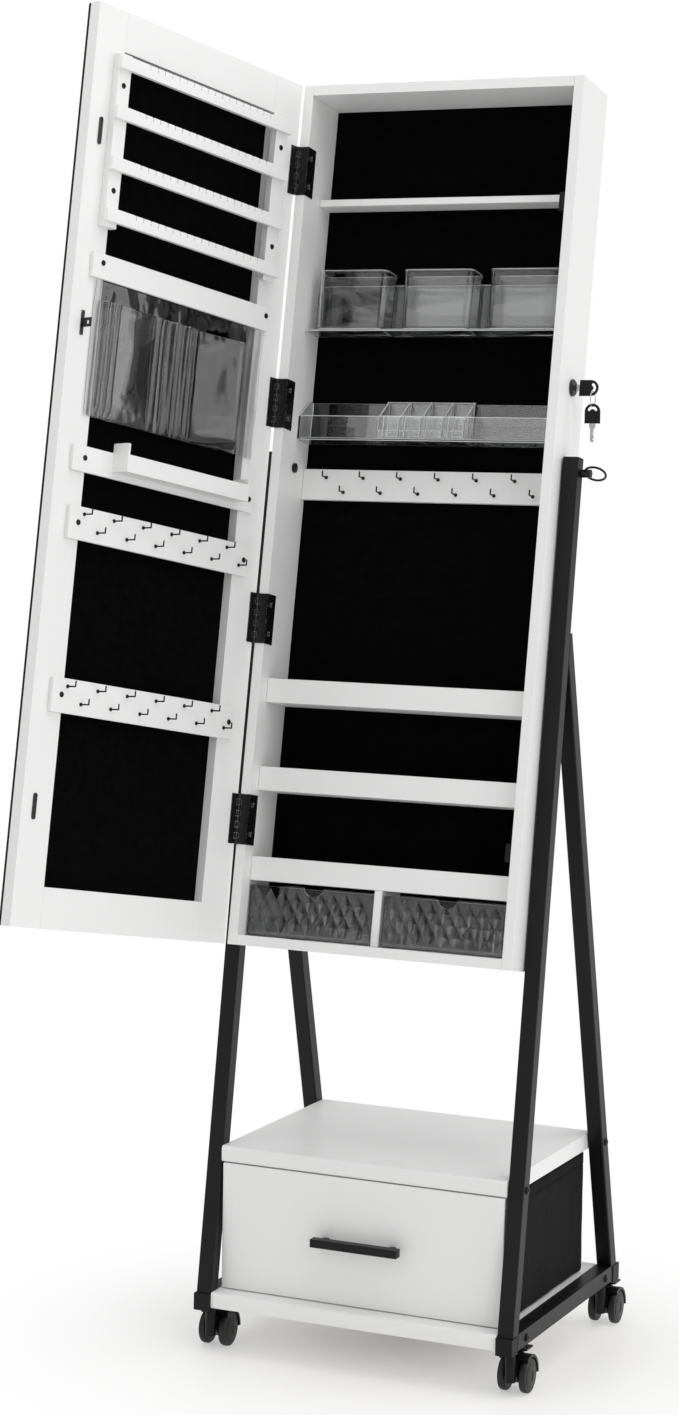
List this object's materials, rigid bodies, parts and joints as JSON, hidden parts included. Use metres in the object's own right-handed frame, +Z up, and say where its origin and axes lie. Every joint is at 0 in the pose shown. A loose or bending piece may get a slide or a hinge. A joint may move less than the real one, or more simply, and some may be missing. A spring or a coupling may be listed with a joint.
{
  "type": "jewelry armoire",
  "caption": "Rolling jewelry armoire: a tilting mirror-door cabinet with trays, hooks and racks on a wheeled steel stand with a storage drawer.",
  "frame": {"origin": "on the floor under the centre of the stand", "axes": "+Z up, +Y to the back of the stand, +X to the right seen from the front; the door hinges on the left and stands open"},
  "size_m": [0.5458, 0.726, 1.6341],
  "materials": {
    "black_steel": "satin black powder coat",
    "black_plastic": "matte",
    "bolts": "satin black",
    "white_board": "white painted board, satin",
    "handle_black": "satin black",
    "drawer_fabric": "woven charcoal",
    "felt": "brushed black felt",
    "clear_acrylic": "clear, glossy",
    "clear_vinyl": "clear flexible sheet",
    "mirror_glass": "silvered",
    "hook_wire": "black",
    "hinge_metal": "satin black",
    "lock_chrome": "polished",
    "key_black": "black bow, bright blade",
    "caster_plastic": "semi-gloss",
    "wheel_rubber": "smooth"
  },
  "bodies": {
    "stand": {"front_legs": "black_steel", "rear_legs": "black_steel", "side_rails": "black_steel", "leg_caps": "black_plastic", "frame_bolts": "bolts", "top_board": "white_board", "base_board": "white_board"},
    "storage_drawer": {"drawer_front": "white_board", "drawer_handle": "handle_black", "fabric_drawer": "drawer_fabric"},
    "cabinet": {"cabinet_carcass": "white_board", "cabinet_back": "white_board", "felt_lining": "felt", "top_shelf": "white_board", "bin_rack": "clear_acrylic", "cosmetics_tray": "clear_acrylic", "cabinet_hook_strip": "white_board", "cabinet_hooks": "hook_wire", "lipped_shelves": "white_board", "drawer_divider": "white_board", "magnet_catches": "black_plastic", "lock_housing": "lock_chrome", "pivot_bolts": "bolts", "hinge_cabinet_leaves": "hinge_metal", "hinge_pins_screws": "hinge_metal"},
    "bin_left": {"bin_left": "clear_acrylic"},
    "bin_middle": {"bin_middle": "clear_acrylic"},
    "bin_right": {"bin_right": "clear_acrylic"},
    "lipstick_organizer": {"lipstick_organizer": "clear_acrylic"},
    "jewelry_drawer_left": {"jewelry_drawer_left": "clear_acrylic"},
    "jewelry_drawer_right": {"jewelry_drawer_right": "clear_acrylic"},
    "lock_plug": {"lock_plug": "lock_chrome"},
    "key": {"key": "key_black"},
    "spare_key": {"spare_key": "key_black"},
    "pivot_knob_left": {"pivot_knob_left": "bolts"},
    "pivot_knob_right": {"pivot_knob_right": "bolts"},
    "door": {"door_frame": "white_board", "door_felt": "felt", "door_mirror": "mirror_glass", "earring_rack": "white_board", "pouch_rail": "white_board", "clear_pouch": "clear_vinyl", "ledge_tray": "white_board", "door_hook_strips": "white_board", "door_hooks": "hook_wire", "door_strikes": "hinge_metal", "door_screws": "bolts", "hinge_door_leaves": "hinge_metal"},
    "caster_front_left": {"caster_hood_front_left": "caster_plastic"},
    "wheels_front_left": {"caster_wheels_front_left": "wheel_rubber"},
    "brake_front_left": {"brake_tab_front_left": "caster_plastic"},
    "caster_front_right": {"caster_hood_front_right": "caster_plastic"},
    "wheels_front_right": {"caster_wheels_front_right": "wheel_rubber"},
    "brake_front_right": {"brake_tab_front_right": "caster_plastic"},
    "caster_rear_left": {"caster_hood_rear_left": "caster_plastic"},
    "wheels_rear_left": {"caster_wheels_rear_left": "wheel_rubber"},
    "brake_rear_left": {"brake_tab_rear_left": "caster_plastic"},
    "caster_rear_right": {"caster_hood_rear_right": "caster_plastic"},
    "wheels_rear_right": {"caster_wheels_rear_right": "wheel_rubber"},
    "brake_rear_right": {"brake_tab_rear_right": "caster_plastic"}
  },
  "joints": [
    {"name": "cabinet_tilt", "type": "hinge", "parent": "stand", "child": "cabinet", "pos_m": [0, -0.009, 1.09], "axis": [-1, 0, 0], "range_deg": [-2, 8]},
    {"name": "door_hinge", "type": "hinge", "parent": "cabinet", "child": "door", "pos_m": [-0.187, -0.06119, 1.03878], "axis": [0, -0.1736, -0.9848], "range_deg": [-105.3, 35]},
    {"name": "storage_drawer_slide", "type": "slide", "parent": "stand", "child": "storage_drawer", "axis": [0, -1, 0], "range_m": [0, 0.22]},
    {"name": "bin_left_lift", "type": "slide", "parent": "cabinet", "child": "bin_left", "axis": [0, 0.1736, 0.9848], "range_m": [0, 0.06]},
    {"name": "bin_middle_lift", "type": "slide", "parent": "cabinet", "child": "bin_middle", "axis": [0, 0.1736, 0.9848], "range_m": [0, 0.06]},
    {"name": "bin_right_lift", "type": "slide", "parent": "cabinet", "child": "bin_right", "axis": [0, 0.1736, 0.9848], "range_m": [0, 0.06]},
    {"name": "organizer_lift", "type": "slide", "parent": "cabinet", "child": "lipstick_organizer", "axis": [0, 0.1736, 0.9848], "range_m": [0, 0.05]},
    {"name": "jewelry_drawer_left_slide", "type": "slide", "parent": "cabinet", "child": "jewelry_drawer_left", "axis": [0, -0.9848, 0.1736], "range_m": [0, 0.05]},
    {"name": "jewelry_drawer_right_slide", "type": "slide", "parent": "cabinet", "child": "jewelry_drawer_right", "axis": [0, -0.9848, 0.1736], "range_m": [0, 0.05]},
    {"name": "lock_turn", "type": "hinge", "parent": "cabinet", "child": "lock_plug", "pos_m": [0.186, 0.01326, 1.1932], "axis": [1, 0, 0], "range_deg": [0, 90]},
    {"name": "key_slide", "type": "slide", "parent": "lock_plug", "child": "key", "axis": [1, 0, 0], "range_m": [0, 0.03]},
    {"name": "spare_key_swing", "type": "hinge", "parent": "key", "child": "spare_key", "pos_m": [0.2133, 0.01253, 1.18907], "axis": [-1, 0, 0], "range_deg": [-22, 42]},
    {"name": "pivot_knob_right_turn", "type": "hinge", "parent": "cabinet", "child": "pivot_knob_right", "pos_m": [0.22, -0.009, 1.09], "axis": [1, 0, 0], "continuous": true},
    {"name": "pivot_knob_left_turn", "type": "hinge", "parent": "cabinet", "child": "pivot_knob_left", "pos_m": [-0.22, -0.009, 1.09], "axis": [-1, 0, 0], "continuous": true},
    {"name": "caster_front_left_swivel", "type": "hinge", "parent": "stand", "child": "caster_front_left", "pos_m": [-0.198, -0.16, 0.06], "axis": [0, 0, 1], "continuous": true},
    {"name": "wheels_front_left_roll", "type": "hinge", "parent": "caster_front_left", "child": "wheels_front_left", "pos_m": [-0.198, -0.138, 0.021], "axis": [1, 0, 0], "continuous": true},
    {"name": "brake_front_left_press", "type": "hinge", "parent": "caster_front_left", "child": "brake_front_left", "pos_m": [-0.198, -0.124, 0.038], "axis": [-1, 0, 0], "range_deg": [0, 10]},
    {"name": "caster_front_right_swivel", "type": "hinge", "parent": "stand", "child": "caster_front_right", "pos_m": [0.198, -0.16, 0.06], "axis": [0, 0, 1], "continuous": true},
    {"name": "wheels_front_right_roll", "type": "hinge", "parent": "caster_front_right", "child": "wheels_front_right", "pos_m": [0.198, -0.138, 0.021], "axis": [1, 0, 0], "continuous": true},
    {"name": "brake_front_right_press", "type": "hinge", "parent": "caster_front_right", "child": "brake_front_right", "pos_m": [0.198, -0.124, 0.038], "axis": [-1, 0, 0], "range_deg": [0, 10]},
    {"name": "caster_rear_left_swivel", "type": "hinge", "parent": "stand", "child": "caster_rear_left", "pos_m": [-0.198, 0.164, 0.06], "axis": [0, 0, 1], "continuous": true},
    {"name": "wheels_rear_left_roll", "type": "hinge", "parent": "caster_rear_left", "child": "wheels_rear_left", "pos_m": [-0.198, 0.186, 0.021], "axis": [1, 0, 0], "continuous": true},
    {"name": "brake_rear_left_press", "type": "hinge", "parent": "caster_rear_left", "child": "brake_rear_left", "pos_m": [-0.198, 0.2, 0.038], "axis": [-1, 0, 0], "range_deg": [0, 10]},
    {"name": "caster_rear_right_swivel", "type": "hinge", "parent": "stand", "child": "caster_rear_right", "pos_m": [0.198, 0.164, 0.06], "axis": [0, 0, 1], "continuous": true},
    {"name": "wheels_rear_right_roll", "type": "hinge", "parent": "caster_rear_right", "child": "wheels_rear_right", "pos_m": [0.198, 0.186, 0.021], "axis": [1, 0, 0], "continuous": true},
    {"name": "brake_rear_right_press", "type": "hinge", "parent": "caster_rear_right", "child": "brake_rear_right", "pos_m": [0.198, 0.2, 0.038], "axis": [-1, 0, 0], "range_deg": [0, 10]}
  ]
}
